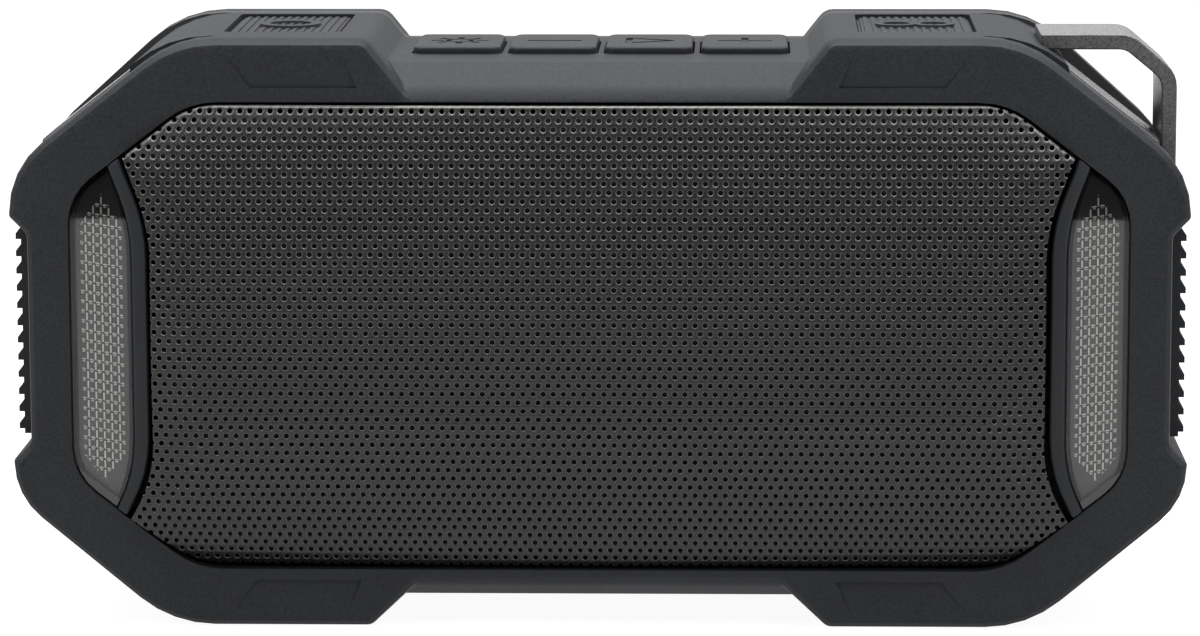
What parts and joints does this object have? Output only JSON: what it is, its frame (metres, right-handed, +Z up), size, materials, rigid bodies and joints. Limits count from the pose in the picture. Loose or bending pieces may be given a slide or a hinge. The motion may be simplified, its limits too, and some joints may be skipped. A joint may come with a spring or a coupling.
{
  "type": "portable speaker",
  "caption": "Rugged eight-sided portable speaker with a domed perforated grille, side light windows, top keys, a corner carry loop and a rear port flap.",
  "frame": {"origin": "on the ground plane, under the middle of the speaker's overall box", "axes": "+X to the right seen from the front, +Y to the back (the grille faces -Y), +Z up"},
  "size_m": [0.2, 0.062, 0.101],
  "materials": {
    "case_rubber": "fine moulded grain, matte charcoal",
    "case_plastic": "fine texture",
    "seal_rubber": "matte black",
    "grille_paint": "satin dark grey powder coat",
    "dust_cloth": "fine black weave",
    "circuit_board": "solder mask",
    "switch_steel": "plated",
    "key_rubber": "fine moulded grain",
    "screw_steel": "dark zinc",
    "cell_wrap": "shrink wrap over steel",
    "inner_plastic": "plain moulding",
    "loop_paint": "gunmetal sparkle paint",
    "bezel_plastic": "satin",
    "smoke_lens": "smoky clear",
    "diffuser_sheet": "silvered pyramid pattern",
    "driver_steel": "black plated",
    "driver_magnet": "zinc plated",
    "driver_cone": "pressed fibre"
  },
  "bodies": {
    "case": {"front_frame": "case_rubber", "rear_frame": "case_rubber", "main_housing": "case_rubber", "rear_cover": "case_plastic", "housing_gasket": "seal_rubber", "grille": "grille_paint", "grille_cloth": "dust_cloth", "key_board": "circuit_board", "tact_switches": "switch_steel", "driver_screws": "screw_steel", "rear_screws": "screw_steel", "board_screws": "screw_steel", "battery_cells": "cell_wrap", "battery_holder": "inner_plastic", "main_board": "circuit_board", "usb_socket": "switch_steel", "carry_loop": "loop_paint", "light_bezel_left": "bezel_plastic", "light_lens_left": "smoke_lens", "light_diffuser_left": "diffuser_sheet", "light_board_left": "circuit_board", "driver_frame_left": "driver_steel", "driver_magnet_left": "driver_magnet", "driver_surround_left": "seal_rubber", "light_bezel_right": "bezel_plastic", "light_lens_right": "smoke_lens", "light_diffuser_right": "diffuser_sheet", "light_board_right": "circuit_board", "driver_frame_right": "driver_steel", "driver_magnet_right": "driver_magnet", "driver_surround_right": "seal_rubber"},
    "light_key": {"light_button": "key_rubber"},
    "volume_down_key": {"volume_down_button": "key_rubber"},
    "play_key": {"play_button": "key_rubber"},
    "volume_up_key": {"volume_up_button": "key_rubber"},
    "power_body": {"power_key": "key_rubber"},
    "link_body": {"link_key": "key_rubber"},
    "cone_left": {"driver_cone_left": "driver_cone"},
    "cone_right": {"driver_cone_right": "driver_cone"},
    "flap": {"port_flap": "seal_rubber"}
  },
  "joints": [
    {"name": "light_press", "type": "slide", "parent": "case", "child": "light_key", "axis": [0, 0, -1], "range_m": [0, 0.0008], "stiffness_N_per_m": 300, "springref_m": -0.0005},
    {"name": "volume_down_press", "type": "slide", "parent": "case", "child": "volume_down_key", "axis": [0, 0, -1], "range_m": [0, 0.0008], "stiffness_N_per_m": 300, "springref_m": -0.0005},
    {"name": "play_press", "type": "slide", "parent": "case", "child": "play_key", "axis": [0, 0, -1], "range_m": [0, 0.0008], "stiffness_N_per_m": 300, "springref_m": -0.0005},
    {"name": "volume_up_press", "type": "slide", "parent": "case", "child": "volume_up_key", "axis": [0, 0, -1], "range_m": [0, 0.0008], "stiffness_N_per_m": 300, "springref_m": -0.0005},
    {"name": "power_press", "type": "slide", "parent": "case", "child": "power_body", "axis": [0, 0, -1], "range_m": [0, 0.0008], "stiffness_N_per_m": 300, "springref_m": -0.0005},
    {"name": "link_press", "type": "slide", "parent": "case", "child": "link_body", "axis": [0, 0, -1], "range_m": [0, 0.0008], "stiffness_N_per_m": 300, "springref_m": -0.0005},
    {"name": "cone_left_stroke", "type": "slide", "parent": "case", "child": "cone_left", "axis": [0, 1, 0], "range_m": [-0.0015, 0.0015], "stiffness_N_per_m": 800},
    {"name": "cone_right_stroke", "type": "slide", "parent": "case", "child": "cone_right", "axis": [0, 1, 0], "range_m": [-0.0015, 0.0015], "stiffness_N_per_m": 800},
    {"name": "flap_hinge", "type": "hinge", "parent": "case", "child": "flap", "pos_m": [-0.051, 0.0285, 0.0448], "axis": [1, 0, 0], "range_deg": [0, 100]}
  ]
}
